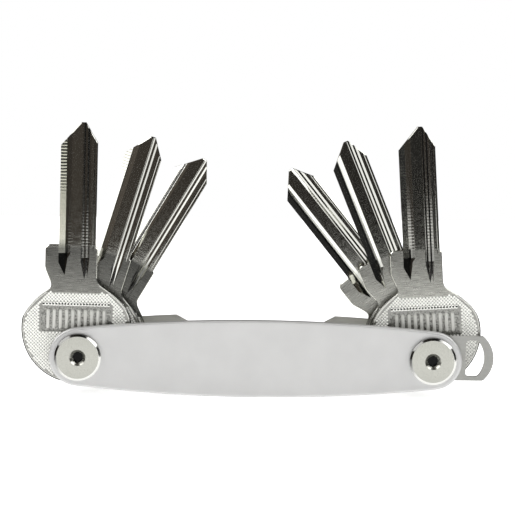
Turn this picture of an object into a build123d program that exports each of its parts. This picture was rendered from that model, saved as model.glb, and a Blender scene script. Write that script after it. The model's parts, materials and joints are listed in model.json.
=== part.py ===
from build123d import *
import math
import os

# Key organiser: six key blanks fan out of a slim handle and turn on two posts.
# X runs along the handle, Z is up and the front plate faces -Y.
# All sizes are in millimetres.

# Handle
PIVOT_SPACING = 85.24
PLATE_HEIGHT = 18.6
PLATE_END_RADIUS = 7.0
FRONT_PLATE_THICKNESS = 2.0
BACK_PLATE_THICKNESS = 1.5
FRONT_PLATE_ROUNDING = 0.55
BACK_PLATE_CHAMFER = 0.25
RELIEF_TOP_WIDTH = 40.6
RELIEF_BOTTOM_WIDTH = 30.9
RELIEF_DEPTH = 2.6
RELIEF_OPENING = 1.0

# Posts: a barrel nut from the back, a socket screw from the front
POST_DIAMETER = 5.0
POST_HOLE_DIAMETER = 5.1
HEAD_DIAMETER = 11.2
HEAD_HEIGHT = 1.5
HEAD_BEVEL = 0.5
THREAD_DIAMETER = 4.0
THREAD_CLEARANCE = 0.02
THREAD_LENGTH = 8.0
THREAD_BORE_LENGTH = 9.0
BARREL_SETBACK = 0.5
SOCKET_ACROSS_FLATS = 2.5
SOCKET_DEPTH = 2.2
SOCKET_MOUTH_DIAMETER = 3.9
SPACER_DIAMETER = 10.0

# Loop tab on the right post, with a D-shaped eye
LOOP_THICKNESS = 1.2
LOOP_WIDTH = 10.8
LOOP_REACH = 14.7
LOOP_RISE = 0.55
LOOP_TIP_RADIUS = 6.9
EYE_START = 8.0
EYE_END = 12.5
EYE_WIDTH = 8.7
EYE_TIP_RADIUS = 6.4
EYE_CORNER_RADIUS = 0.7

# Layers between the plates, from the front: the loop tab, then six key layers
LAYER_GAP = 0.05
KEY_THICKNESS = 2.0
KEY_LAYERS = 6
LOOP_LAYER = LOOP_THICKNESS + 2 * LAYER_GAP
KEY_LAYER = KEY_THICKNESS + 2 * LAYER_GAP

# Key blank, measured from the centre of its hole, which lies on the blade's axis
BLADE_HALF_WIDTH = 4.4
TIP_HEIGHT = 55.9
TIP_FLAT = (0.4, 1.5)
LEFT_TIP_FOOT = 50.4
RIGHT_TIP_FOOT = 51.1
SHOULDER_HEIGHT = 26.4
NECK_TOP = (26.0, 25.6)
SHOULDER_REACH = 7.65
SHOULDER_FOOT = 20.6
SHOULDER_ROUNDINGS = [1.3, 2.5, 1.5]
WAIST_HALF_WIDTH = 5.8
WAIST_HEIGHT = 16.2
NECK_HALF_WIDTH = 4.85
NECK_FLARE_RADIUS = 2.5
BOW_RADIUS = 13.25
BOW_CENTRE = (0.15, 6.3)
BOW_LEFT_JOIN = -12.85
BOW_LEFT_SHOULDER = [(-10.9, 11.9), (-8.05, 14.6)]
BOW_RIGHT_JOIN = 13.35
BOW_RIGHT_SHOULDER = [(11.2, 12.3), (7.4, 15.5)]
KEY_HOLE_DIAMETER = 8.5
KEY_EDGE_CHAMFER = 0.15

# Milled profile of the blade, as (offset across the blade, depth below the face): a step along
# the open edge, a double groove beside it and a fine line near the other edge. Each profile
# starts clear of the face, and the groove's lower end climbs out of it between two heights.
STEP_PROFILE = [(-4.5, -0.3), (-4.5, 0.32), (-2.95, 0.75), (-2.25, 0.15), (-0.15, -0.3)]
DOUBLE_PROFILE = [
    (0.6, -0.3),
    (1.05, 0.06),
    (1.2, 0.0),
    (1.52, 0.2),
    (1.64, 0.2),
    (2.08, 0.02),
    (2.5, 0.22),
    (3.7, -0.3),
]
LINE_PROFILE = [(3.1, -0.3), (3.8, 0.08), (4.5, -0.3)]
STEP_RUN_OUT = (24.4, 19.0)
DOUBLE_RUN_OUT = (23.4, 18.2)
LINE_RUN_OUT = (26.0, 24.5)
RUN_OUT_OVERSHOOT = 1.1
GROOVE_TOP = 57.0

# Stamped faces of the bow
BOW_RIM = 0.45
BOW_FIELD_TOP = [(-15, 16.6), (-6.3, 16.6), (-5.5, 14.8), (5.5, 14.8), (6.3, 15.8), (15, 15.8)]
BOW_FIELD_BOTTOM = -10
BOW_FIELD_DEPTH = 0.12
PANEL_WIDTH = 16.8
PANEL_HEIGHT = 5.9
PANEL_CENTRE_HEIGHT = 8.45
PANEL_DEPTH = 0.4
PANEL_CORNER_RADIUS = 0.9

# How each key lies: its layer, its lean from upright (clockwise from the front, in degrees)
# and where the post sits in its oversized hole (across the blade, along the blade)
KEYS = {
    "left": [(1, 0.8, 0.83, -0.26), (3, 17.2, -0.18, 0.47), (5, 30.85, -0.47, 0.12)],
    "right": [(2, -3.5, 1.25, -0.17), (4, -22.2, 1.06, -0.29), (6, -38.95, -0.37, -0.72)],
}
KEY_NAMES = ("front", "middle", "rear")

# Worked out from the above
STACK_DEPTH = (
    2 * HEAD_HEIGHT
    + FRONT_PLATE_THICKNESS
    + LOOP_LAYER
    + KEY_LAYERS * KEY_LAYER
    + BACK_PLATE_THICKNESS
)
FRONT_FACE = -STACK_DEPTH / 2 + HEAD_HEIGHT
LAYERS_START = FRONT_FACE + FRONT_PLATE_THICKNESS
BACK_PLATE_START = LAYERS_START + LOOP_LAYER + KEY_LAYERS * KEY_LAYER
BACK_FACE = BACK_PLATE_START + BACK_PLATE_THICKNESS
PIVOT_HEIGHT = PLATE_HEIGHT / 2
SIDES = {"left": -PIVOT_SPACING / 2, "right": PIVOT_SPACING / 2}


def layer_start(layer):
    """The front of a layer: 0 holds the loop tab, 1 to 6 hold the keys."""
    if layer == 0:
        return LAYERS_START
    return LAYERS_START + LOOP_LAYER + (layer - 1) * KEY_LAYER


def slab(face, start, thickness):
    """A sheet drawn in X and Z, with its front at Y = start."""
    upright = Plane(origin=(0, start, 0), x_dir=(1, 0, 0), z_dir=(0, -1, 0)) * face
    return extrude(upright, amount=thickness, dir=(0, 1, 0))


def disc(diameter, x, start, length):
    """A round bar along Y at a post's place in X."""
    return slab(Pos(x, PIVOT_HEIGHT) * Circle(diameter / 2), start, length)


def edges_at(shape, y):
    """The edges that lie in the plane at this Y."""
    return shape.edges().filter_by_position(Axis.Y, y - 0.001, y + 0.001)


def handle_outline():
    """Two round ends joined by long arcs that are tangent to them."""
    half = PIVOT_SPACING / 2
    rise = PLATE_HEIGHT / 2 - PLATE_END_RADIUS
    arc_radius = (half**2 + (PLATE_HEIGHT / 2) ** 2 - PLATE_END_RADIUS**2) / (2 * rise)
    centre = arc_radius - PLATE_HEIGHT / 2
    reach = PLATE_END_RADIUS / (arc_radius - PLATE_END_RADIUS)
    corner = (half + half * reach, centre * reach)
    with BuildLine() as line:
        ThreePointArc((-corner[0], corner[1]), (0, PLATE_HEIGHT / 2), corner)
        ThreePointArc(corner, (half + PLATE_END_RADIUS, 0), (corner[0], -corner[1]))
        ThreePointArc((corner[0], -corner[1]), (0, -PLATE_HEIGHT / 2), (-corner[0], -corner[1]))
        ThreePointArc((-corner[0], -corner[1]), (-half - PLATE_END_RADIUS, 0), (-corner[0], corner[1]))
    return Pos(0, PIVOT_HEIGHT) * make_face(line.line)


def post_holes(start, length):
    """The holes that both posts pass through."""
    return [disc(POST_HOLE_DIAMETER, x, start, length) for x in SIDES.values()]


def front_plate():
    plate = slab(handle_outline(), FRONT_FACE, FRONT_PLATE_THICKNESS)
    plate = fillet(edges_at(plate, FRONT_FACE), FRONT_PLATE_ROUNDING)
    return plate - post_holes(FRONT_FACE, FRONT_PLATE_THICKNESS)


def back_plate():
    """The plate behind the keys, with a shallow relief in its top edge for a fingertip."""
    top = RELIEF_TOP_WIDTH / 2
    bottom = RELIEF_BOTTOM_WIDTH / 2
    flare = RELIEF_OPENING * (top - bottom) / RELIEF_DEPTH
    relief = make_face(
        Polyline(
            (-bottom, PLATE_HEIGHT - RELIEF_DEPTH),
            (bottom, PLATE_HEIGHT - RELIEF_DEPTH),
            (top + flare, PLATE_HEIGHT + RELIEF_OPENING),
            (-top - flare, PLATE_HEIGHT + RELIEF_OPENING),
            close=True,
        )
    )
    outline = handle_outline() - relief
    plate = slab(outline, BACK_PLATE_START, BACK_PLATE_THICKNESS)
    plate = chamfer(edges_at(plate, BACK_FACE), BACK_PLATE_CHAMFER)
    return plate - post_holes(BACK_PLATE_START, BACK_PLATE_THICKNESS)


def head(x, start, outer):
    """A low round head with a bevelled rim, whose outer face is at Y = outer."""
    body = disc(HEAD_DIAMETER, x, start, HEAD_HEIGHT)
    return chamfer(edges_at(body, outer), HEAD_BEVEL)


def socket(x, outer, inward):
    """A hexagon socket with a countersunk mouth, cut from an outer face."""
    hexagon = RegularPolygon(SOCKET_ACROSS_FLATS / 2, 6, major_radius=False)
    mouth_depth = (SOCKET_MOUTH_DIAMETER - SOCKET_ACROSS_FLATS) / 2
    face = Plane(origin=(x, outer, PIVOT_HEIGHT), z_dir=(0, inward, 0))
    hole = extrude(face * hexagon, amount=SOCKET_DEPTH)
    mouth = face * Pos(0, 0, mouth_depth / 2) * Cone(
        SOCKET_MOUTH_DIAMETER / 2, SOCKET_ACROSS_FLATS / 2, mouth_depth
    )
    return hole + mouth


def screw(x):
    body = head(x, FRONT_FACE - HEAD_HEIGHT, FRONT_FACE - HEAD_HEIGHT)
    body += disc(THREAD_DIAMETER - 2 * THREAD_CLEARANCE, x, FRONT_FACE, THREAD_LENGTH)
    return body - socket(x, FRONT_FACE - HEAD_HEIGHT, 1)


def barrel_nut(x):
    """A headed sleeve that carries the keys and takes the screw's thread."""
    start = FRONT_FACE + BARREL_SETBACK
    body = head(x, BACK_FACE, BACK_FACE + HEAD_HEIGHT)
    body += disc(POST_DIAMETER, x, start, BACK_FACE - start)
    body -= disc(THREAD_DIAMETER, x, start, THREAD_BORE_LENGTH)
    return body - socket(x, BACK_FACE + HEAD_HEIGHT, -1)


def spacer(x, layer):
    thickness = LOOP_LAYER if layer == 0 else KEY_LAYER
    ring = disc(SPACER_DIAMETER, x, layer_start(layer), thickness)
    return ring - disc(POST_HOLE_DIAMETER, x, layer_start(layer), thickness)


def loop_tab():
    """A flat tab that turns on the right post and carries a ring in its D-shaped eye."""
    half = LOOP_WIDTH / 2
    corner = LOOP_REACH - LOOP_TIP_RADIUS + math.sqrt(LOOP_TIP_RADIUS**2 - half**2)
    eye_half = EYE_WIDTH / 2
    eye_corner = EYE_END - EYE_TIP_RADIUS + math.sqrt(EYE_TIP_RADIUS**2 - eye_half**2)
    with BuildLine() as outer:
        ThreePointArc((0, half), (-half, 0), (0, -half))
        Line((0, -half), (corner, -half))
        ThreePointArc((corner, -half), (LOOP_REACH, 0), (corner, half))
        Line((corner, half), (0, half))
    with BuildLine() as eye:
        Polyline(
            (eye_corner, eye_half),
            (EYE_START, eye_half),
            (EYE_START, -eye_half),
            (eye_corner, -eye_half),
        )
        ThreePointArc((eye_corner, -eye_half), (EYE_END, 0), (eye_corner, eye_half))
    eye_face = make_face(eye.line)
    eye_face = fillet(eye_face.vertices(), EYE_CORNER_RADIUS)
    tab = Pos(0, LOOP_RISE) * (make_face(outer.line) - eye_face) - Circle(POST_HOLE_DIAMETER / 2)
    place = Pos(SIDES["right"], PIVOT_HEIGHT)
    return slab(place * tab, layer_start(0) + LAYER_GAP, LOOP_THICKNESS)


def on_bow(across):
    """The point on the upper half of the bow's circle at this offset from the blade's axis."""
    return (across, BOW_CENTRE[1] + math.sqrt(BOW_RADIUS**2 - (across - BOW_CENTRE[0]) ** 2))


def key_outline():
    """Blade, one-sided shoulder, waisted neck and round bow, in one closed line."""
    edge = BLADE_HALF_WIDTH
    bow_foot = (BOW_CENTRE[0], BOW_CENTRE[1] - BOW_RADIUS)
    with BuildLine() as line:
        circle = ThreePointArc(on_bow(BOW_LEFT_JOIN), bow_foot, on_bow(BOW_RIGHT_JOIN))
        side = TangentArc(circle @ 1, BOW_RIGHT_SHOULDER[0], tangent=circle % 1)
        flank = TangentArc(side @ 1, BOW_RIGHT_SHOULDER[1], tangent=side % 1)
        slope = flank % 1
        neck_run = (NECK_HALF_WIDTH - BOW_RIGHT_SHOULDER[1][0]) / slope.X
        neck_foot = flank @ 1 + slope * neck_run
        FilletPolyline(
            flank @ 1,
            neck_foot,
            (NECK_HALF_WIDTH, NECK_TOP[1]),
            radius=NECK_FLARE_RADIUS,
        )
        Polyline(
            (NECK_HALF_WIDTH, NECK_TOP[1]),
            (edge, NECK_TOP[0]),
            (edge, RIGHT_TIP_FOOT),
            (TIP_FLAT[1], TIP_HEIGHT),
            (TIP_FLAT[0], TIP_HEIGHT),
            (-edge, LEFT_TIP_FOOT),
            (-edge, SHOULDER_HEIGHT),
        )
        FilletPolyline(
            (-edge, SHOULDER_HEIGHT),
            (-SHOULDER_REACH, SHOULDER_HEIGHT),
            (-SHOULDER_REACH, SHOULDER_FOOT),
            (-WAIST_HALF_WIDTH, WAIST_HEIGHT),
            BOW_LEFT_SHOULDER[1],
            radius=SHOULDER_ROUNDINGS,
        )
        ThreePointArc(BOW_LEFT_SHOULDER[1], BOW_LEFT_SHOULDER[0], circle @ 0)
    return make_face(line.line)


def groove(profile, run_out):
    """One milled groove in the front face, whose lower end runs out of the surface."""
    start, end = run_out
    front = -KEY_THICKNESS / 2
    deepest = max(depth for x, depth in profile)
    corners = [(x, front + depth, start) for x, depth in profile]
    section = make_face(Polyline(*corners, close=True))
    blade = extrude(section, amount=GROOVE_TOP - start, dir=(0, 0, 1))
    ramp = Vector(0, -deepest, end - start) * RUN_OUT_OVERSHOOT
    return blade + extrude(section, amount=ramp.length, dir=ramp.normalized())


def blade_grooves():
    return [
        groove(STEP_PROFILE, STEP_RUN_OUT),
        groove(DOUBLE_PROFILE, DOUBLE_RUN_OUT),
        groove(LINE_PROFILE, LINE_RUN_OUT),
    ]


def bow_stamping(outline):
    """The sunk field of the bow's face, and the deeper panel in it."""
    front = -KEY_THICKNESS / 2
    bottom = [(BOW_FIELD_TOP[-1][0], BOW_FIELD_BOTTOM), (BOW_FIELD_TOP[0][0], BOW_FIELD_BOTTOM)]
    below_neck = make_face(Polyline(*BOW_FIELD_TOP, *bottom, close=True))
    field = offset(outline, -BOW_RIM) & below_neck
    panel = RectangleRounded(PANEL_WIDTH, PANEL_HEIGHT, PANEL_CORNER_RADIUS)
    panel = Pos(0, PANEL_CENTRE_HEIGHT) * panel
    return [slab(field, front, BOW_FIELD_DEPTH), slab(panel, front, PANEL_DEPTH)]


def key_blank():
    """A key blank in its own frame: the hole at the origin, the blade upwards."""
    outline = key_outline()
    blank = slab(outline, -KEY_THICKNESS / 2, KEY_THICKNESS)
    for face in (-KEY_THICKNESS / 2, KEY_THICKNESS / 2):
        blank = chamfer(edges_at(blank, face), KEY_EDGE_CHAMFER)
    turned = Rot(0, 0, 180)
    for cut in blade_grooves():
        blank -= cut
        blank -= turned * cut
    for cut in bow_stamping(outline):
        blank -= cut
        blank -= mirror(cut, Plane.XZ)
    return blank - slab(Circle(KEY_HOLE_DIAMETER / 2), -KEY_THICKNESS / 2, KEY_THICKNESS)


def placed_key(blank, x, layer, lean, across, along):
    """A key turned about its post, in its own layer."""
    middle = layer_start(layer) + KEY_LAYER / 2
    return Pos(x, middle, PIVOT_HEIGHT) * Rot(0, lean, 0) * Pos(-across, 0, -along) * blank


def model():
    parts = {
        "front_plate": front_plate(),
        "back_plate": back_plate(),
        "loop_tab": loop_tab(),
    }
    blank = key_blank()
    for side, x in SIDES.items():
        parts[f"{side}_screw"] = screw(x)
        parts[f"{side}_barrel_nut"] = barrel_nut(x)
        key_layers = [key[0] for key in KEYS[side]]
        for name, key in zip(KEY_NAMES, KEYS[side]):
            parts[f"{side}_key_{name}"] = placed_key(blank, x, *key)
        free = [n for n in range(KEY_LAYERS + 1) if n not in key_layers]
        if side == "right":
            free.remove(0)
        for number, layer in enumerate(free, 1):
            parts[f"{side}_spacer_{number}"] = spacer(x, layer)
    return parts


def main():
    parts = model()
    boxes = [part.bounding_box() for part in parts.values()]
    middle = (min(box.min.X for box in boxes) + max(box.max.X for box in boxes)) / 2
    os.makedirs("parts", exist_ok=True)
    for name, part in parts.items():
        export_step(Pos(-middle, 0, 0) * part, f"parts/{name}.step")
    print(f"the handle's middle is at X = {-middle:.4f}")


main()
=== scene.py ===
import json
import math

import bpy
from mathutils import Matrix, Vector


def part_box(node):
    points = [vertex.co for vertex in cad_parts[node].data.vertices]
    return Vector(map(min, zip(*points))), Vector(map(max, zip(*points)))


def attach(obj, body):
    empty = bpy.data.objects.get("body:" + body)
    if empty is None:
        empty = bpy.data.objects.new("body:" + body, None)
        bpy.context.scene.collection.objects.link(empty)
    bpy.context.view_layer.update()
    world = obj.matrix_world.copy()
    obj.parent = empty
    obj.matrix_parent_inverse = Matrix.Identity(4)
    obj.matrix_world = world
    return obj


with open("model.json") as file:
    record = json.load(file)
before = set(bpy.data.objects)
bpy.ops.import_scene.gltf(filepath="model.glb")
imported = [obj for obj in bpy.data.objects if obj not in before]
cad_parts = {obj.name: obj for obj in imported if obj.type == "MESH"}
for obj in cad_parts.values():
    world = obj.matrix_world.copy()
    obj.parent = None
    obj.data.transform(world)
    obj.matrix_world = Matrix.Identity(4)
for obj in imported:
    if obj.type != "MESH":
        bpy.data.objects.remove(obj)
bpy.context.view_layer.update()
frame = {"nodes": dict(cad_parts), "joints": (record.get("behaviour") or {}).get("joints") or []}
MM = 0.001

# ---------------------------------------------------------------- the keys
# In a key's frame its hole is the origin, X runs across the blade, Z along it to the tip
# and the front face looks along -Y. Lengths in that frame are in mm.

# The same numbers as in part.py: the lean from upright in degrees, and where the post sits in
# the key's hole, across and along the blade
KEY_POSES = {
    "left_key_front": (0.8, 0.83, -0.26),
    "left_key_middle": (17.2, -0.18, 0.47),
    "left_key_rear": (30.85, -0.47, 0.12),
    "right_key_front": (-3.5, 1.25, -0.17),
    "right_key_middle": (-22.2, 1.06, -0.29),
    "right_key_rear": (-38.95, -0.37, -0.72),
}
# Per-key tones that paint the reflections and shade each key shows at rest: how bright the step,
# the double groove, the run-outs and the ground neck are, and how deep the cutter's chatter is
# where the grooves start
KEY_PAINTED_TONES = {
    "left_key_front": dict(step=0.34, groove=0.34, run_out=0.22, neck=0.82, chatter=0.5),
    "left_key_middle": dict(step=0.80, groove=0.45, run_out=0.60, neck=0.66, chatter=0.15),
    "left_key_rear": dict(step=0.80, groove=0.62, run_out=0.14, neck=0.48, chatter=0.1),
    "right_key_front": dict(step=0.34, groove=0.34, run_out=0.22, neck=1.36, chatter=0.5),
    "right_key_middle": dict(step=0.80, groove=0.50, run_out=0.45, neck=1.40, chatter=0.15),
    "right_key_rear": dict(step=0.80, groove=0.55, run_out=0.45, neck=1.34, chatter=0.15),
}
# A painted dark line of shade along some keys' steps: how far its middle is from the key's centre
# line, and half its width
STEP_SHADE_LINES = {
    "left_key_rear": (2.54, 0.24),
    "right_key_middle": (2.92, 0.24),
    "right_key_rear": (2.92, 0.24),
}
JOINTS = {joint["child"]: joint for joint in frame["joints"]}


def node_middle(node):
    low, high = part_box(node)
    return (low + high) / 2


def key_frame(node):
    """Where a key's own frame lies in the organiser, at rest."""
    lean, across, along = KEY_POSES[node]
    pivot = Vector(JOINTS[node]["pos_m"])
    pivot.y = node_middle(node).y
    turn = Matrix.Rotation(math.radians(lean), 4, "Y")
    shift = Matrix.Translation((-across * MM, 0, -along * MM))
    return Matrix.Translation(pivot) @ turn @ shift


# ---------------------------------------------------------------- the bows' stamped faces
# The key and the outline of its bow, in mm in the key's frame
KEY_THICKNESS = 2.0
BOW_RADIUS = 13.25
BOW_CENTRE = (0.15, 6.3)
HOLE_RADIUS = 4.25
# Where the outline leaves the circle, from the side up to the neck
SHOULDERS = (
    ((-12.96, 8.8), (-12.05, 10.4), (-10.9, 11.9), (-9.5, 13.35), (-8.05, 14.6), (-5.8, 16.2)),
    ((13.17, 7.2), (12.45, 9.9), (11.2, 12.3), (9.46, 14.1), (7.4, 15.5), (4.85, 16.9)),
)

# The knurled field inside the bow's rim
BOW_RIM = 0.45
FIELD_TOP = 14.8
FIELD_DEPTH = 0.12
# The field runs up beside the neck, past these lines: foot, top
FIELD_HORNS = (((-5.5, 14.8), (-6.3, 16.6)), ((5.5, 14.8), (6.3, 15.8)))
KNURL_PITCH = 0.825                # across the corners of one pyramid
KNURL_CLEARANCE = KNURL_PITCH / 2 * 0.6    # from a pyramid's middle to any edge
KNURL_PROUD = 0.03                 # how far the pyramids stand out from the key's face

ROOT = 0.01                        # how far the relief starts below the floor that it stands on

# The sunk panel and the ribs in it
PANEL = (16.8, 5.9, 8.45)          # width, height, height of its middle
PANEL_DEPTH = 0.4
PANEL_LEDGE = 0.12                 # how much further the knurling stays from the panel
RIB_PITCH = 1.5
RIB_COUNT = 10
RIB_SIZE = (0.85, PANEL[1] - 1.1)  # width, length
# How a rib narrows as it rises: how much narrower on each side, how high above the floor
RIB_LEVELS = ((0.0, -ROOT), (0.04, 0.2), (0.12, 0.3), (0.26, 0.34))
RIB_END_STEPS = 5

# A row of notches in a flat rail above the panel
NOTCH_ROW_HEIGHT = 12.15
NOTCH_PITCH = 0.74
NOTCH_SIZE = (0.40, 0.40)          # width, height
RAIL_HEIGHT = 0.9
RAIL_REACH = PANEL[0] / 2 - 0.3
BAR_BEVEL = 0.04


def beyond_line(x, z, start, end):
    """How far a point lies to the left of the line from start to end."""
    (ax, az), (bx, bz) = start, end
    return ((bx - ax) * (z - az) - (bz - az) * (x - ax)) / math.hypot(bx - ax, bz - az)


def in_field(x, z, margin):
    """Whether a point of the bow's face is in the knurled field, at least margin from its edge."""
    if math.hypot(x - BOW_CENTRE[0], z - BOW_CENTRE[1]) > BOW_RADIUS - BOW_RIM - margin:
        return False
    if math.hypot(x, z) < HOLE_RADIUS + margin:
        return False
    side = 1 if x > 0 else 0
    turn = 1 if side else -1
    line = SHOULDERS[side]
    for start, end in zip(line, line[1:]):
        if turn * beyond_line(x, z, start, end) < BOW_RIM + margin:
            return False
    if z < FIELD_TOP - margin:
        return True
    foot, top = FIELD_HORNS[side]
    return z < top[1] - margin and turn * beyond_line(x, z, foot, top) < -margin


def in_panel(x, z, margin):
    width, height, middle = PANEL
    return abs(x) < width / 2 + margin and abs(z - middle) < height / 2 + margin


def in_rail(x, z, margin):
    return abs(z - NOTCH_ROW_HEIGHT) < RAIL_HEIGHT / 2 + margin and abs(x) < PANEL[0] / 2


def add_pyramid(points, faces, ring, apex):
    """A ring of points joined to an apex."""
    first = len(points)
    points.extend(ring)
    points.append(apex)
    top = first + len(ring)
    for i in range(len(ring)):
        faces.append((first + i, first + (i + 1) % len(ring), top))


def add_loft(points, faces, rings):
    """Rings of equal length joined by quads, closed by a face over the last one."""
    first = len(points)
    size = len(rings[0])
    for ring in rings:
        points.extend(ring)
    for level in range(len(rings) - 1):
        a = first + level * size
        for i in range(size):
            j = (i + 1) % size
            faces.append((a + i, a + j, a + size + j, a + size + i))
    last = first + (len(rings) - 1) * size
    faces.append(tuple(range(last, last + size)))


def stadium(x, z, width, length, shrink, y):
    """An upright slot outline about (x, z), drawn anticlockwise as seen from the front."""
    radius = width / 2 - shrink
    reach = (length - width) / 2
    ring = []
    for end, start in ((1, 0.0), (-1, math.pi)):
        for step in range(RIB_END_STEPS + 1):
            angle = start + math.pi * step / RIB_END_STEPS
            end_z = z + end * reach
            ring.append((x + radius * math.cos(angle), y, end_z + radius * math.sin(angle)))
    return ring


def add_bar(points, faces, x_range, z_range, base, top):
    """A flat bar with bevelled edges that stands on the field."""
    rings = []
    for y, shrink in ((base, 0.0), (top + BAR_BEVEL, 0.0), (top, BAR_BEVEL)):
        low_x, high_x = x_range[0] + shrink, x_range[1] - shrink
        low_z, high_z = z_range[0] + shrink, z_range[1] - shrink
        rings.append([
            (high_x, y, low_z), (high_x, y, high_z), (low_x, y, high_z), (low_x, y, low_z)
        ])
    add_loft(points, faces, rings)


def add_knurling(points, faces, base, top):
    """Pyramids in staggered rows all over the field, clear of the rail and the panel."""
    half = KNURL_PITCH / 2
    count = int(2 * BOW_RADIUS / half)
    for row in range(-count, count + 1):
        z = BOW_CENTRE[1] + row * half
        for column in range(-count, count + 1):
            x = (column + (row % 2) / 2) * KNURL_PITCH
            if not in_field(x, z, KNURL_CLEARANCE) or in_rail(x, z, KNURL_CLEARANCE):
                continue
            if in_panel(x, z, PANEL_LEDGE + KNURL_CLEARANCE):
                continue
            corners = ((half, 0), (0, half), (-half, 0), (0, -half))
            ring = [(x + to_x, base, z + to_z) for to_x, to_z in corners]
            add_pyramid(points, faces, ring, (x, top, z))


def add_notched_rail(points, faces, base, top):
    """Two thin rails joined by rungs, which leave a row of square notches between them."""
    notch_width, notch_height = NOTCH_SIZE
    low, high = NOTCH_ROW_HEIGHT - notch_height / 2, NOTCH_ROW_HEIGHT + notch_height / 2
    foot, head = NOTCH_ROW_HEIGHT - RAIL_HEIGHT / 2, NOTCH_ROW_HEIGHT + RAIL_HEIGHT / 2
    add_bar(points, faces, (-RAIL_REACH, RAIL_REACH), (foot, low), base, top)
    add_bar(points, faces, (-RAIL_REACH, RAIL_REACH), (high, head), base, top)
    count = int(RAIL_REACH / NOTCH_PITCH)
    half = (NOTCH_PITCH - notch_width) / 2
    for number in range(-count, count + 1):
        x = number * NOTCH_PITCH
        add_bar(points, faces, (x - half, x + half), (low, high), base, top)


def add_ribs(points, faces, floor):
    """Round-ended upright ribs, side by side in the panel."""
    for number in range(RIB_COUNT):
        x = (number - (RIB_COUNT - 1) / 2) * RIB_PITCH
        rings = [
            stadium(x, PANEL[2], *RIB_SIZE, shrink, floor - height) for shrink, height in RIB_LEVELS
        ]
        add_loft(points, faces, rings)


def bow_relief_mesh():
    """The stamping on both faces of a bow. The rear face mirrors the front one."""
    points, faces = [], []
    face = -KEY_THICKNESS / 2
    base, top = face + FIELD_DEPTH + ROOT, face - KNURL_PROUD
    add_knurling(points, faces, base, top)
    add_notched_rail(points, faces, base, top)
    add_ribs(points, faces, face + PANEL_DEPTH)
    count = len(points)
    points += [(x, -y, z) for x, y, z in points]
    faces += [tuple(count + i for i in reversed(corners)) for corners in faces]
    mesh = bpy.data.meshes.new("bow_relief")
    mesh.from_pydata([(x * MM, y * MM, z * MM) for x, y, z in points], [], faces)
    mesh.update()
    return mesh


# ---------------------------------------------------------------- node trees
WAVE_DETAIL = 2.0


class Nodes:
    """A short way to write a node tree."""

    def __init__(self, tree):
        self.tree = tree

    def add(self, kind, inputs=None, **settings):
        node = self.tree.nodes.new(kind)
        for name, value in settings.items():
            setattr(node, name, value)
        for name, value in (inputs or {}).items():
            self.set(node, name, value)
        return node

    def set(self, node, name, value):
        socket = node.inputs[name]
        if isinstance(value, bpy.types.NodeSocket):
            self.tree.links.new(value, socket)
        else:
            socket.default_value = value

    def split(self, vector):
        return tuple(self.add("ShaderNodeSeparateXYZ", {"Vector": vector}).outputs)

    def math(self, operation, *values):
        node = self.add("ShaderNodeMath", dict(enumerate(values)), operation=operation)
        return node.outputs[0]

    def product(self, first, *others):
        for other in others:
            first = self.math("MULTIPLY", first, other)
        return first

    def near(self, value, middle, reach):
        """1 where a value is less than reach from the middle, 0 elsewhere."""
        distance = self.math("ABSOLUTE", self.math("SUBTRACT", value, middle))
        return self.math("LESS_THAN", distance, reach)

    def spread(self, value, to=(0.0, 1.0), over=(0.3, 0.7)):
        """Maps a value from one range to another. Most noise lies between 0.3 and 0.7."""
        ranges = {"From Min": over[0], "From Max": over[1], "To Min": to[0], "To Max": to[1]}
        return self.add("ShaderNodeMapRange", {"Value": value, **ranges}).outputs["Result"]

    def mix(self, factor, first, second):
        # A colour mix has its factor at input 0 and its colours at inputs 6 and 7
        node = self.add("ShaderNodeMix", {0: factor, 6: first, 7: second}, data_type="RGBA")
        return node.outputs[2]

    def greys(self, factor, first, second, yellow=0.0):
        return self.mix(factor, grey(first, yellow), grey(second, yellow))


class Finish(Nodes):
    """A material and its node tree. Its patterns are laid out in mm."""

    def __init__(self, name):
        self.material = bpy.data.materials.new(name)
        self.material.use_nodes = True
        super().__init__(self.material.node_tree)
        self.shader = self.tree.nodes["Principled BSDF"]

    def coordinates(self, place=Matrix.Identity(4)):
        """Object coordinates in mm, in the frame given by place."""
        inputs = {
            "Vector": self.add("ShaderNodeTexCoord").outputs["Object"],
            "Location": place.translation,
            "Rotation": place.to_euler(),
            "Scale": (MM, MM, MM),
        }
        return self.add("ShaderNodeMapping", inputs, vector_type="TEXTURE").outputs["Vector"]

    def stretched(self, vector, scale):
        return self.add("ShaderNodeMapping", {"Vector": vector, "Scale": scale}).outputs["Vector"]

    def noise(self, vector, scale, detail=3.0, roughness=0.55):
        inputs = {"Vector": vector, "Scale": scale, "Detail": detail, "Roughness": roughness}
        return self.add("ShaderNodeTexNoise", inputs).outputs["Fac"]

    def wave(self, vector, scale, distortion, detail_scale, **settings):
        inputs = {"Vector": vector, "Scale": scale, "Distortion": distortion}
        inputs.update({"Detail": WAVE_DETAIL, "Detail Scale": detail_scale})
        return self.add("ShaderNodeTexWave", inputs, **settings).outputs["Fac"]

    def radius(self, vector, centre=(0, 0, 0)):
        """How far a point is from an axis along Y."""
        flat = self.add("ShaderNodeVectorMath", {0: vector, 1: (1, 0, 1)}, operation="MULTIPLY")
        inputs = {0: flat.outputs[0], 1: centre}
        return self.add("ShaderNodeVectorMath", inputs, operation="DISTANCE").outputs["Value"]

    def bump(self, height, strength, distance):
        inputs = {"Height": height, "Strength": strength, "Distance": distance * MM}
        self.set(self.shader, "Normal", self.add("ShaderNodeBump", inputs).outputs["Normal"])

    def finish(self, **values):
        for name, value in values.items():
            self.set(self.shader, name.replace("_", " "), value)
        return self.material


def grey(tone, yellow=0.0):
    """A grey, with this share of its blue taken away."""
    return (tone, tone, tone * (1 - yellow), 1.0)


# ---------------------------------------------------------------- handle materials
BRUSHING_STRETCH = (0.06, 9.0, 9.0)

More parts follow.
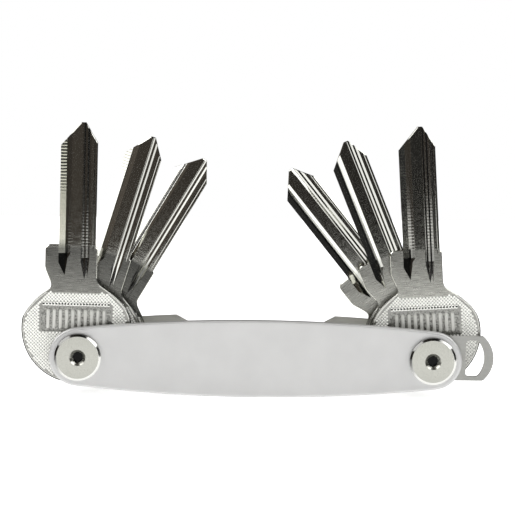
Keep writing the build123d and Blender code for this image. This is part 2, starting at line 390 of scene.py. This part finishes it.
SATIN_TONES = (0.66, 0.70)
SHEET_STEEL_CONTRAST = 0.86        # the darkest brushing, as a share of the brightest

TURNED_TONE = 0.47
TURNED_CONTRAST = 0.93
# Painted shade, near black, inside the hex socket
SOCKET_SHADE_TONE = 0.012
# The bevel's painted lit and shaded tones
BEVEL_SHADE_TONES = (0.85, 0.15)
# Radii on a screw head, in mm: where the bevel starts and where the socket ends
HEAD_BEVEL = (5.02, 5.12)
HEAD_SOCKET = (1.22, 1.32)
# Painted light and shade on the bevel: it goes from its lit tone to its shaded one in this
# direction, over these mm
BEVEL_PAINTED_SHADE_DIRECTION = (-0.6, 0, 0.8)
BEVEL_SHADE = (-1.0, 3.0)


def satin_aluminium():
    """A fine even grain with faint clouds."""
    n = Finish("satin_aluminium")
    where = n.coordinates()
    grain = n.noise(where, scale=9.0, detail=4.0)
    clouds = n.noise(where, scale=0.12, detail=2.0)
    n.bump(grain, strength=0.25, distance=0.02)
    colour = n.greys(n.spread(clouds), *SATIN_TONES, yellow=0.01)
    return n.finish(Base_Color=colour, Metallic=0.85, Roughness=n.spread(grain, to=(0.42, 0.56)))


def brushed_steel(name, tone, roughness):
    """Sheet steel brushed along X."""
    n = Finish(name)
    where = n.coordinates()
    brushing = n.noise(n.stretched(where, BRUSHING_STRETCH), scale=1.0)
    smudges = n.noise(where, scale=0.25)
    n.bump(brushing, strength=0.3, distance=0.02)
    colour = n.greys(n.spread(brushing), tone * SHEET_STEEL_CONTRAST, tone, yellow=0.05)
    rough = n.spread(brushing, to=(roughness, roughness + 0.12))
    rough = n.math("ADD", rough, n.spread(smudges, to=(-0.03, 0.05)))
    return n.finish(Base_Color=colour, Metallic=1.0, Roughness=rough)


def turned_steel(name, centre):
    """Steel faced on a lathe: fine rings about the post's axis."""
    n = Finish(name)
    where = n.coordinates(Matrix.Translation(centre))
    turning = dict(wave_type="RINGS", rings_direction="Y")
    rings = n.wave(where, scale=1.6, distortion=0.6, detail_scale=0.6, **turning)
    grain = n.noise(where, scale=2.5, detail=4.0)
    n.bump(rings, strength=0.12, distance=0.01)
    radius = n.radius(where)
    bevel = n.spread(radius, over=HEAD_BEVEL)
    socket = n.spread(radius, to=(1, 0), over=HEAD_SOCKET)
    inputs = {0: where, 1: BEVEL_PAINTED_SHADE_DIRECTION}
    shade = n.add("ShaderNodeVectorMath", inputs, operation="DOT_PRODUCT").outputs["Value"]
    colour = n.greys(n.spread(grain), TURNED_TONE * TURNED_CONTRAST, TURNED_TONE, yellow=0.09)
    # The bevel's painted light and shade
    bevel_colour = n.greys(n.spread(shade, over=BEVEL_SHADE), *BEVEL_SHADE_TONES, yellow=0.04)
    colour = n.mix(bevel, colour, bevel_colour)
    # Painted shade inside the socket
    colour = n.mix(socket, colour, grey(SOCKET_SHADE_TONE))
    rough = n.spread(rings, to=(0.20, 0.27), over=(0, 1))
    rough = n.math("ADD", rough, n.spread(grain, to=(-0.02, 0.04)))
    rough = n.math("SUBTRACT", rough, n.math("MULTIPLY", bevel, 0.10))
    return n.finish(Base_Color=colour, Metallic=1.0, Roughness=rough)


# ---------------------------------------------------------------- key materials
# Heights in a key's own frame, in mm. A pair is the start and end of a gradual change.
BOW_END = (14.8, 15.0)             # the bow meets the ground neck
BLADE_START = (25.6, 26.6)         # the neck meets the smooth blade
NECK_SHADE = (15.5, 24.5)          # the neck gets darker
MILLING_FOOT = 17.5                # nothing is milled below here
RUN_OUT_FOOT = 18.0
RUN_OUT_GROWTH = (18.2, 22.5)      # a run-out widens to its full width
RUN_OUT_END = (25.5, 28.0)         # its tone gives way to the groove's
SCRATCH_FADE = (20.0, 46.0)
DULL_FADE = (26.0, 40.0)           # the blade gets less dull
GROOVE_CHATTER = (30.0, 42.0)      # the chatter in the grooves fades
TIP_CHATTER = (38.0, 46.0)         # the chatter on the step grows

# Distances from a key's centre line, in mm
RUN_OUT_MIDDLE = 1.8
RUN_OUT_HALF_WIDTH = 0.95
STEP_EDGE = (2.85, 3.0)
NECK_SIDE = 4.55                   # the neck's narrow sides lie beyond this
NOTCH_ROW_REACH = PANEL[0] / 2 - 0.4

# Distances from a key's middle plane, in mm
MILLED = (0.97, 0.985)             # a surface nearer than this was cut
CHAMFER = (0.9, 0.985)
STAMPED = 0.9
SUNK = 0.7

RIM_EDGE = (BOW_RADIUS - 0.32, BOW_RADIUS - 0.22)  # from the bow's centre
NOTCH_FLOOR = (0.25, 0.40)         # from the middle of the row of notches
SCRATCH_STRETCH = (0.35, 1.0, 7.0)
PIT_WAVES = (-0.85, -0.25)         # how low two crossed waves are in and around a pit

# Tones from 0 to 1, in pairs where a pattern goes from one to the other
LOW_NECK_TONES = (0.20, 0.44)
HIGH_NECK_TONES = (0.11, 0.28)
# A painted highlight on the neck's narrow sides
NECK_SIDE_HIGHLIGHT_TONE = 0.85
BLADE_TONES = (0.46, 0.52)
DULL_TONE = 0.25
STEP_FACE_TONE = 0.80
RUN_OUT_SHADOW = 0.035
# The painted shade along some steps
STEP_SHADE_TONE = 0.04
BOW_TONES = (0.62, 0.70)
# Painted shade on the field's floor, darkest between the rails
FLOOR_SHADE_TONES = (0.35, 0.01)         # the field's floor, and between the rails
# Painted shade on the bow's rim and chamfered edges
EDGE_SHADE_TONE = 0.04
WORN_TONES = (0.16, 0.55)
RELIEF_TONES = (0.90, 0.98)
PIT_SHADE_TONE = 0.20
RIB_TONE = 0.62

# The share of blue taken away
NICKEL_YELLOW = 0.08
GROOVE_YELLOW = 0.07
BOW_YELLOW = 0.06
SHADOW_YELLOW = 0.05
NECK_SIDE_HIGHLIGHT_YELLOW = 0.10
EDGE_SHADE_YELLOW = 0.12


class KeyFinish(Finish):
    """A key's nickel plating, with masks that say which part of the key a point is on."""

    def __init__(self, name, place):
        super().__init__(name)
        self.where = self.coordinates(place)
        across, depth, self.height = self.split(self.where)
        self.off_centre = self.math("ABSOLUTE", across)
        self.off_plane = self.math("ABSOLUTE", depth)
        side = self.math("MULTIPLY", across, depth)
        self.step_side = self.math("GREATER_THAN", side, 0.0)
        self.groove_side = self.math("LESS_THAN", side, 0.0)

        self.speckle = self.noise(self.where, scale=1.1)
        scratch_space = self.stretched(self.where, SCRATCH_STRETCH)
        self.scratches = self.noise(scratch_space, scale=1.0, detail=4.0, roughness=0.65)
        self.scratched = self.spread(self.scratches, over=(0.35, 0.65))

        ragged_height = self.math("ADD", self.height, self.spread(self.speckle, to=(-0.3, 0.3)))
        self.blade = self.spread(ragged_height, over=BLADE_START)
        self.bow = self.spread(self.height, to=(1, 0), over=BOW_END)
        cut = self.spread(self.off_plane, to=(1, 0), over=MILLED)
        self.milled = self.product(cut, self.math("GREATER_THAN", self.height, MILLING_FOOT))
        self.on_step = self.product(self.spread(self.off_centre, over=STEP_EDGE), self.step_side)
        self.sunk = self.product(self.bow, self.math("LESS_THAN", self.off_plane, SUNK))

    def roughen(self, chatter_depth):
        """Scratches that fade towards the tip, and the cutter's chatter in what it milled."""
        on_tip = self.product(self.on_step, self.spread(self.height, over=TIP_CHATTER))
        in_grooves = self.product(
            self.math("SUBTRACT", self.milled, self.on_step),
            self.spread(self.height, to=(chatter_depth, 0.0), over=GROOVE_CHATTER),
            self.blade,
        )
        upwards = dict(wave_type="BANDS", bands_direction="Z")
        waves = self.wave(self.where, scale=0.42, distortion=0.8, detail_scale=1.0, **upwards)
        chatter = self.product(waves, self.math("ADD", on_tip, in_grooves))
        fading = self.spread(self.height, to=(0.5, 0.06), over=SCRATCH_FADE)
        fine = self.product(self.scratches, fading)
        relief = self.math("ADD", fine, self.product(chatter, 0.5))
        self.bump(relief, strength=0.5, distance=0.03)

    def plating(self, neck_tone):
        """Bright bow, ground neck that darkens upwards, smooth blade that is dull at its foot."""
        low_neck, high_neck = (
            self.greys(self.scratched, dark * neck_tone, light * neck_tone, NICKEL_YELLOW)
            for dark, light in (LOW_NECK_TONES, HIGH_NECK_TONES)
        )
        neck = self.mix(self.spread(self.height, over=NECK_SHADE), low_neck, high_neck)
        blade = self.greys(self.spread(self.speckle), *BLADE_TONES, NICKEL_YELLOW)
        fading = self.spread(self.height, to=(0.5, 0.0), over=DULL_FADE)
        dull = self.product(self.scratched, fading)
        blade = self.mix(dull, blade, grey(DULL_TONE, NICKEL_YELLOW))
        bow = self.greys(self.spread(self.speckle), *BOW_TONES, BOW_YELLOW)
        return self.mix(self.bow, self.mix(self.blade, neck, blade), bow)

    def with_run_out_shadows(self, colour):
        """Painted shadow in the neck, where the double groove runs out."""
        width = self.spread(self.height, to=(0.0, RUN_OUT_HALF_WIDTH), over=RUN_OUT_GROWTH)
        # Painted shadow where the grooves run out
        run_out = self.product(
            self.near(self.off_centre, RUN_OUT_MIDDLE, width),
            self.groove_side,
            self.math("SUBTRACT", 1.0, self.blade),
            self.math("GREATER_THAN", self.height, RUN_OUT_FOOT),
        )
        return self.mix(run_out, colour, grey(RUN_OUT_SHADOW, SHADOW_YELLOW))

    def with_milling(self, colour, step_tone, groove_tone, run_out_tone):
        """The step, the grooves and their run-outs in per-key painted reflection and shade tones,
        and a painted highlight on the narrow sides of the neck.
        """
        cut = self.greys(self.step_side, groove_tone, step_tone, GROOVE_YELLOW)
        cut = self.mix(self.on_step, cut, grey(STEP_FACE_TONE, GROOVE_YELLOW))
        past_run_out = self.spread(self.height, over=RUN_OUT_END)
        cut = self.mix(past_run_out, grey(run_out_tone, GROOVE_YELLOW), cut)
        # A painted highlight on the neck's narrow sides
        neck_side = self.math("GREATER_THAN", self.off_centre, NECK_SIDE)
        cut = self.mix(neck_side, cut, grey(NECK_SIDE_HIGHLIGHT_TONE, NECK_SIDE_HIGHLIGHT_YELLOW))
        return self.mix(self.milled, colour, cut)

    def with_step_shade(self, colour, middle, half_width):
        """A painted dark line of shade along the blade, at the edge of the step."""
        line = self.near(self.off_centre, middle, half_width)
        on_shade_line = self.product(line, self.step_side, self.blade)
        return self.mix(on_shade_line, colour, grey(STEP_SHADE_TONE, SHADOW_YELLOW))

    def with_stamping(self, colour):
        """The bow's field floor and its row of notches darkened with painted shade, painted shade
        along its rim and chamfered edges, and its worn sunk panel.
        """
        stamped = self.product(self.bow, self.math("LESS_THAN", self.off_plane, STAMPED))
        from_row = self.math("ABSOLUTE", self.math("SUBTRACT", self.height, NOTCH_ROW_HEIGHT))
        in_row = self.product(
            self.math("LESS_THAN", self.off_centre, NOTCH_ROW_REACH),
            self.spread(from_row, to=(1, 0), over=NOTCH_FLOOR),
        )
        # Painted shade on the field's floor, near black in the notches
        colour = self.mix(stamped, colour, self.greys(in_row, *FLOOR_SHADE_TONES, BOW_YELLOW))

        # Painted shade along the rim and the chamfered edges
        from_centre = self.radius(self.where, (BOW_CENTRE[0], 0, BOW_CENTRE[1]))
        chamfer = self.product(
            self.math("LESS_THAN", self.off_plane, CHAMFER[1]),
            self.math("GREATER_THAN", self.off_plane, CHAMFER[0]),
        )
        edges = self.math("MAXIMUM", self.spread(from_centre, over=RIM_EDGE), chamfer)
        colour = self.mix(self.product(self.bow, edges), colour, grey(EDGE_SHADE_TONE, EDGE_SHADE_YELLOW))

        wear = self.noise(self.where, scale=1.6, detail=4.0, roughness=0.7)
        worn = self.greys(self.spread(wear, over=(0.38, 0.62)), *WORN_TONES, BOW_YELLOW)
        return self.mix(self.sunk, colour, worn)

    def roughness(self):
        smooth = self.math("MAXIMUM", self.blade, self.milled)
        rough = self.spread(smooth, to=(0.27, 0.09), over=(0, 1))
        rough = self.math("ADD", rough, self.spread(self.speckle, to=(-0.01, 0.03)))
        return self.math("ADD", rough, self.product(self.sunk, 0.15))


def nickel(name, place, tones, step_shade):
    """Nickel-plated brass: bright bow, ground neck, and a blade left smooth by its cutter."""
    n = KeyFinish(name, place)
    n.roughen(tones["chatter"])
    # The neck, step, groove and run-out tones are painted reflections and shade, set per key
    colour = n.with_run_out_shadows(n.plating(tones["neck"]))
    colour = n.with_milling(colour, tones["step"], tones["groove"], tones["run_out"])
    if step_shade:
        colour = n.with_step_shade(colour, *step_shade)
    return n.finish(Base_Color=n.with_stamping(colour), Metallic=1.0, Roughness=n.roughness())


def stamped_nickel(name, place):
    """The bow's stamping: bright where it was polished, with painted shade where four pyramids
    meet.
    """
    n = Finish(name)
    where = n.coordinates(place)
    across, _, height = n.split(where)
    turns = 2 * math.pi / KNURL_PITCH
    up_the_bow = n.math("SUBTRACT", height, BOW_CENTRE[1])
    waves = [n.math("COSINE", n.product(distance, turns)) for distance in (across, up_the_bow)]
    pit_shade = n.spread(n.product(*waves), to=(1, 0), over=PIT_WAVES)
    width, length, middle = PANEL
    ribs = n.product(
        n.near(height, middle, length / 2),
        n.math("LESS_THAN", n.math("ABSOLUTE", across), width / 2),
    )
    grain = n.noise(where, scale=1.3)
    colour = n.greys(n.spread(grain), *RELIEF_TONES, SHADOW_YELLOW)
    # Painted shade in the valleys between pyramids
    colour = n.mix(pit_shade, colour, grey(PIT_SHADE_TONE, SHADOW_YELLOW))
    colour = n.mix(ribs, colour, grey(RIB_TONE, BOW_YELLOW))
    n.bump(n.noise(where, scale=6.0, detail=2.0), strength=0.15, distance=0.02)
    return n.finish(Base_Color=colour, Metallic=0.3, Roughness=n.spread(grain, to=(0.30, 0.40)))


# ---------------------------------------------------------------- the organiser
def dress(node, material):
    mesh = frame["nodes"][node].data
    mesh.materials.clear()
    mesh.materials.append(material)


def add_object(name, data):
    new_object = bpy.data.objects.new(name, data)
    bpy.context.scene.collection.objects.link(new_object)
    return new_object


dress("front_plate", satin_aluminium())
dress("back_plate", brushed_steel("brushed_plate", tone=0.98, roughness=0.52))
dress("loop_tab", brushed_steel("brushed_tab", tone=0.44, roughness=0.34))
for side in ("left", "right"):
    turned = turned_steel(f"turned_steel_{side}", node_middle(f"{side}_screw"))
    for node in frame["nodes"]:
        if node.startswith(side) and "_key_" not in node:
            dress(node, turned)

relief = bow_relief_mesh()
for key in KEY_POSES:
    place = key_frame(key)
    dress(key, nickel(f"nickel_{key}", place, KEY_PAINTED_TONES[key], STEP_SHADE_LINES.get(key)))
    mesh = relief.copy()
    mesh.transform(place)
    mesh.materials.append(stamped_nickel(f"stamped_{key}", place))
    piece = add_object(f"{key}_relief", mesh)
    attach(piece, key)


# ---------------------------------------------------------------- studio
WHITE = (1.0, 1.0, 1.0, 1.0)
CREAM = (1.0, 0.97, 0.84, 1.0)
SHEET_CORNER_STEPS = 8
SHEET_TONES = (0.88, 0.92)

TABLE = ((-0.27, -0.29), (0.27, 0.60))     # corners of the light table, in metres
TABLE_CORNER = 0.12
TABLE_GLOW = 0.72
SHADED_STRIP = (-60, -15)                  # where the table darkens towards the object, in mm
SHADED_GLOW = 0.50
SHADED_TONE = 0.62

CARD = ((0.10, -0.75), (0.29, -0.30))      # corners of a white card in front of the table
CARD_CORNER = 0.03
CARD_GLOW = 0.25
CARD_TONE = 0.52
CARD_YELLOW = 0.12

FILL_LIGHT = (0.45, 0.45, 0.45, 1.0)
DIM_ROOM_LEFT = (0.085, 0.073, 0.062, 1.0)
DIM_ROOM_RIGHT = (0.022, 0.022, 0.022, 1.0)
ROOM_BLEND = (-0.06, 0.06)

SOFTBOX_TARGET = Vector((0, 0, 0.03))
SOFTBOXES = {                              # position and size in metres, power in watts
    "left_softbox": ((-0.95, -0.25, 0.95), (0.8, 0.9), 8.0),
    "right_softbox": ((0.9, -0.25, 1.05), (0.8, 0.9), 9.0),
    "front_softbox": ((0.0, -1.0, 1.3), (1.2, 0.7), 3.0),
}


def glowing_sheet(name, corners, corner_radius, material):
    """A flat sheet with rounded corners that lies at floor level."""
    (left, front), (right, back) = corners
    turns = ((right, back, 0), (left, back, 90), (left, front, 180), (right, front, 270))
    outline = []
    for x, y, start in turns:
        middle_x = x - math.copysign(corner_radius, x - (left + right) / 2)
        middle_y = y - math.copysign(corner_radius, y - (front + back) / 2)
        for step in range(SHEET_CORNER_STEPS + 1):
            angle = math.radians(start + step * 90 / SHEET_CORNER_STEPS)
            outline.append((
                middle_x + corner_radius * math.cos(angle),
                middle_y + corner_radius * math.sin(angle),
                0,
            ))
    mesh = bpy.data.meshes.new(name)
    mesh.from_pydata(outline, [], [tuple(range(len(outline)))])
    mesh.materials.append(material)
    add_object(name, mesh)


class PaleFinish(Finish):
    """White to look at and as a source of light, but dimmer where the metal mirrors it."""

    def __init__(self, name):
        super().__init__(name)
        self.where = self.coordinates()
        self.mirrored = self.add("ShaderNodeLightPath").outputs["Is Glossy Ray"]

    def glow(self, dimmed, dimmed_colour, dimmed_glow, light_colour):
        grain = self.noise(self.where, scale=0.4)
        white = self.greys(self.spread(grain), *SHEET_TONES)
        return self.finish(
            Base_Color=self.mix(dimmed, white, dimmed_colour),
            Roughness=0.9,
            Emission_Color=light_colour,
            Emission_Strength=self.spread(dimmed, to=(TABLE_GLOW, dimmed_glow), over=(0, 1)),
        )


def pale_table():
    """Its reflection is darker close in front of the object, where the object shades it."""
    n = PaleFinish("pale_table")
    _, depth, _ = n.split(n.where)
    shaded = n.product(n.mirrored, n.spread(depth, over=SHADED_STRIP))
    return n.glow(shaded, grey(SHADED_TONE), SHADED_GLOW, WHITE)


def pale_card():
    """Its reflection is a dim cream."""
    n = PaleFinish("pale_card")
    colour = grey(CARD_TONE, CARD_YELLOW)
    return n.glow(n.mirrored, colour, CARD_GLOW, n.mix(n.mirrored, WHITE, CREAM))


def softbox(name, position, size, power):
    light = bpy.data.lights.new(name, "AREA")
    light.shape = "RECTANGLE"
    light.size, light.size_y = size
    light.energy = power
    lamp = add_object(name, light)
    lamp.location = position
    direction = SOFTBOX_TARGET - Vector(position)
    lamp.rotation_euler = direction.to_track_quat("-Z", "Y").to_euler()
    lamp.visible_camera = False


def studio_world():
    """White to look at, some fill light, and a dim room in what the metal reflects."""
    world = bpy.data.worlds.new("studio")
    bpy.context.scene.world = world
    world.use_nodes = True
    n = Nodes(world.node_tree)
    sideways, _, _ = n.split(n.add("ShaderNodeTexCoord").outputs["Generated"])
    room = n.mix(n.spread(sideways, over=ROOM_BLEND), DIM_ROOM_LEFT, DIM_ROOM_RIGHT)
    ray = n.add("ShaderNodeLightPath").outputs
    light = n.mix(ray["Is Glossy Ray"], FILL_LIGHT, room)
    light = n.mix(ray["Is Camera Ray"], light, WHITE)
    n.set(n.tree.nodes["Background"], "Color", light)


glowing_sheet("floor", TABLE, TABLE_CORNER, pale_table())
glowing_sheet("bounce_card", CARD, CARD_CORNER, pale_card())
studio_world()
for name, settings in SOFTBOXES.items():
    softbox(name, *settings)

# ---------------------------------------------------------------- camera
AIM = Vector((-0.19 * MM, -10.2 * MM, 33.91 * MM))
CAMERA_DISTANCE = 0.70
CAMERA_ELEVATION = math.radians(4.8)
CAMERA_ROLL = math.radians(0.665)
CAMERA_LENS = 205.0
CAMERA_SENSOR = 36.0
CAMERA_CLIP = 0.01

camera_data = bpy.data.cameras.new("camera")
camera_data.lens = CAMERA_LENS
camera_data.sensor_width = CAMERA_SENSOR
camera_data.clip_start = CAMERA_CLIP
camera = add_object("camera", camera_data)
backwards = Vector((0, -math.cos(CAMERA_ELEVATION), math.sin(CAMERA_ELEVATION)))
upright = Vector((0, math.sin(CAMERA_ELEVATION), math.cos(CAMERA_ELEVATION)))
rightwards = Vector((1, 0, 0))
right = rightwards * math.cos(CAMERA_ROLL) + upright * math.sin(CAMERA_ROLL)
up = upright * math.cos(CAMERA_ROLL) - rightwards * math.sin(CAMERA_ROLL)
axes = Matrix((right, up, backwards)).transposed().to_4x4()
camera.matrix_world = Matrix.Translation(AIM + backwards * CAMERA_DISTANCE) @ axes
bpy.context.scene.camera = camera
bpy.context.scene.view_settings.view_transform = "Standard"
